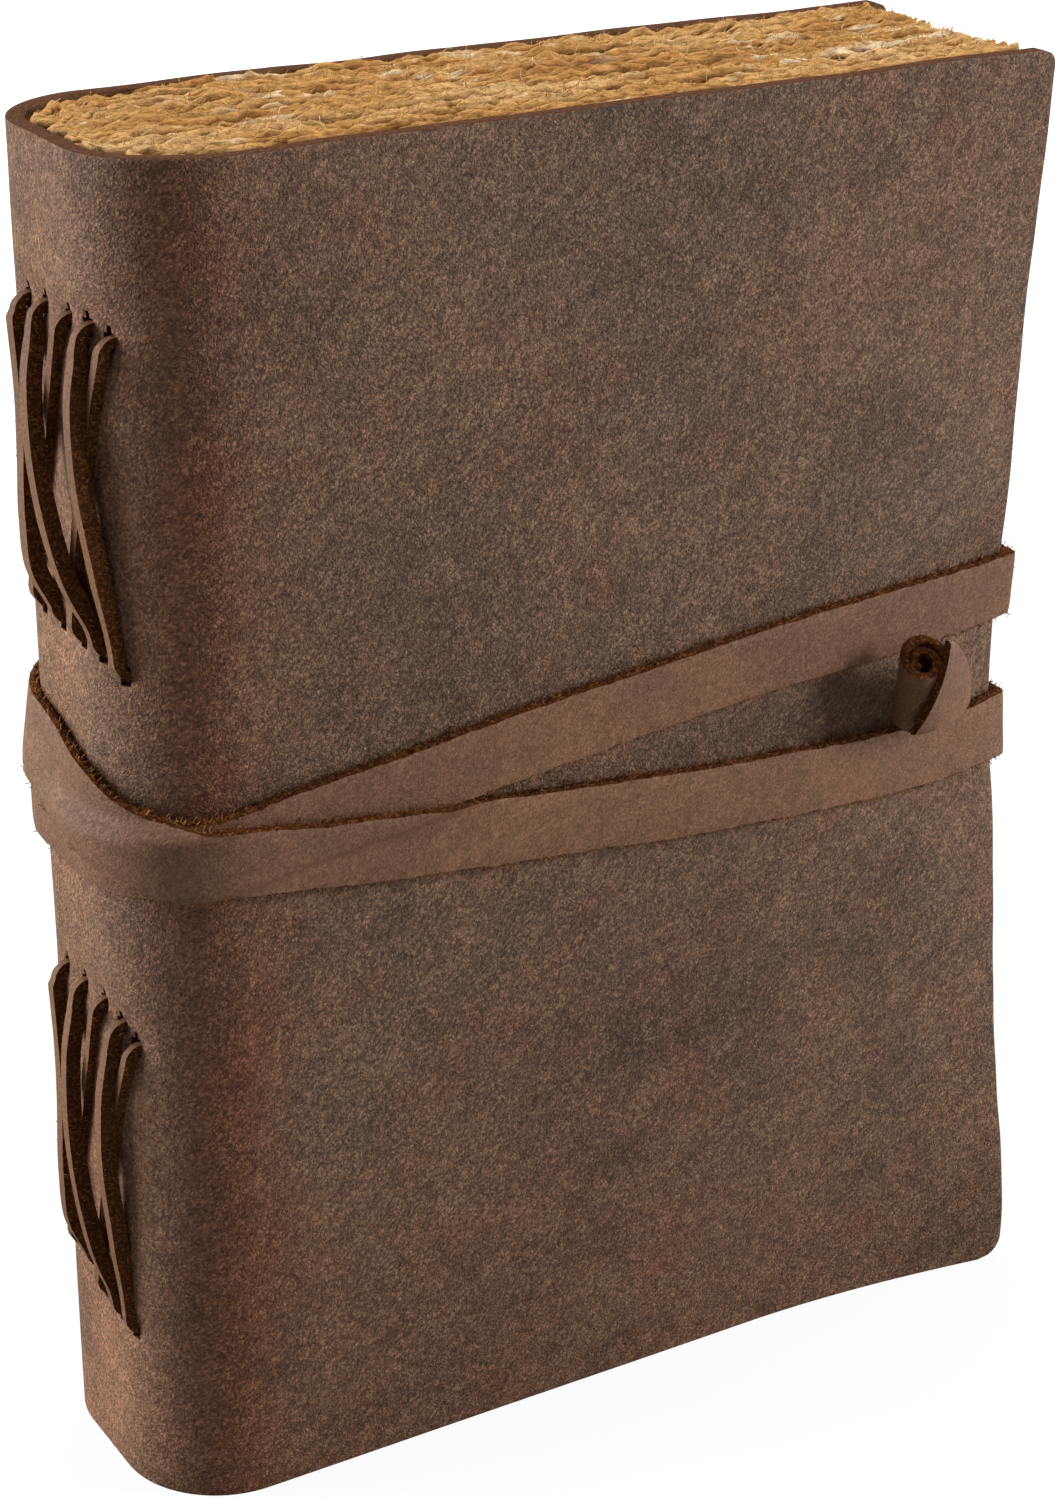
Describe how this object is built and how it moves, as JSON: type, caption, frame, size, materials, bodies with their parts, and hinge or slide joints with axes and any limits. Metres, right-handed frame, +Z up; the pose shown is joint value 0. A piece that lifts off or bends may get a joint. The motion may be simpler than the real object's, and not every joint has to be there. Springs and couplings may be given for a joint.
{
  "type": "leather bound notebook",
  "caption": "Long-stitch notebook: a wrapped leather cover laced to folded rag-paper gatherings, closed by a wrap strap caught behind a rolled toggle.",
  "frame": {"origin": "middle of the closed book's outline on the plane it stands on, which is the tail edge of the cover and leaves", "axes": "+Z up along the spine from tail to head; +X from the spine to the fore edge; -Y out of the front cover, so +Y out of the back cover"},
  "size_m": [0.14, 0.0534, 0.178],
  "materials": {
    "cover_leather": "distressed pull-up grain, mottled and dry",
    "rag_paper": "tea-stained handmade cotton rag paper with deckle edges",
    "lacing_leather": "light tan grain side with dark fuzzy cut sides",
    "strap_leather": "smooth brown grain with raw orange-brown cut edges"
  },
  "bodies": {
    "text_block": {"spine": "cover_leather", "signature_1": "rag_paper", "signature_2": "rag_paper", "signature_3": "rag_paper", "signature_4": "rag_paper", "signature_5": "rag_paper", "upper_thong": "lacing_leather", "lower_thong": "lacing_leather"},
    "front_board": {"front_cover": "cover_leather", "toggle": "strap_leather"},
    "back_board": {"back_cover": "cover_leather", "wrap_strap": "strap_leather"},
    "front_leaf_outer": {"front_outer_leaf": "rag_paper"},
    "front_leaf_inner": {"front_inner_leaf": "rag_paper"},
    "back_leaf_outer": {"back_outer_leaf": "rag_paper"},
    "back_leaf_inner": {"back_inner_leaf": "rag_paper"}
  },
  "joints": [
    {"name": "front_cover_fold", "type": "hinge", "parent": "text_block", "child": "front_board", "pos_m": [-0.0524, -0.02, 0.089], "axis": [0, 0, -1], "range_deg": [0, 170], "deforming": ["wrap_strap"]},
    {"name": "back_cover_fold", "type": "hinge", "parent": "text_block", "child": "back_board", "pos_m": [-0.0524, 0.02, 0.089], "axis": [0, 0, 1], "range_deg": [0, 170], "deforming": ["wrap_strap"]},
    {"name": "front_outer_leaf_turn", "type": "hinge", "parent": "text_block", "child": "front_leaf_outer", "pos_m": [-0.0521, -0.0175, 0.089], "axis": [0, 0, -1], "range_deg": [0, 85]},
    {"name": "front_inner_leaf_turn", "type": "hinge", "parent": "text_block", "child": "front_leaf_inner", "pos_m": [-0.0521, -0.0171, 0.089], "axis": [0, 0, -1], "range_deg": [0, 42.5]},
    {"name": "back_outer_leaf_turn", "type": "hinge", "parent": "text_block", "child": "back_leaf_outer", "pos_m": [-0.0521, 0.0175, 0.089], "axis": [0, 0, 1], "range_deg": [0, 85]},
    {"name": "back_inner_leaf_turn", "type": "hinge", "parent": "text_block", "child": "back_leaf_inner", "pos_m": [-0.0521, 0.0171, 0.089], "axis": [0, 0, 1], "range_deg": [0, 42.5]}
  ],
  "couplings": [
    {"joint": "front_outer_leaf_turn", "follows": "front_cover_fold", "ratio": 0.5},
    {"joint": "front_inner_leaf_turn", "follows": "front_cover_fold", "ratio": 0.25},
    {"joint": "back_outer_leaf_turn", "follows": "back_cover_fold", "ratio": 0.5},
    {"joint": "back_inner_leaf_turn", "follows": "back_cover_fold", "ratio": 0.25}
  ]
}
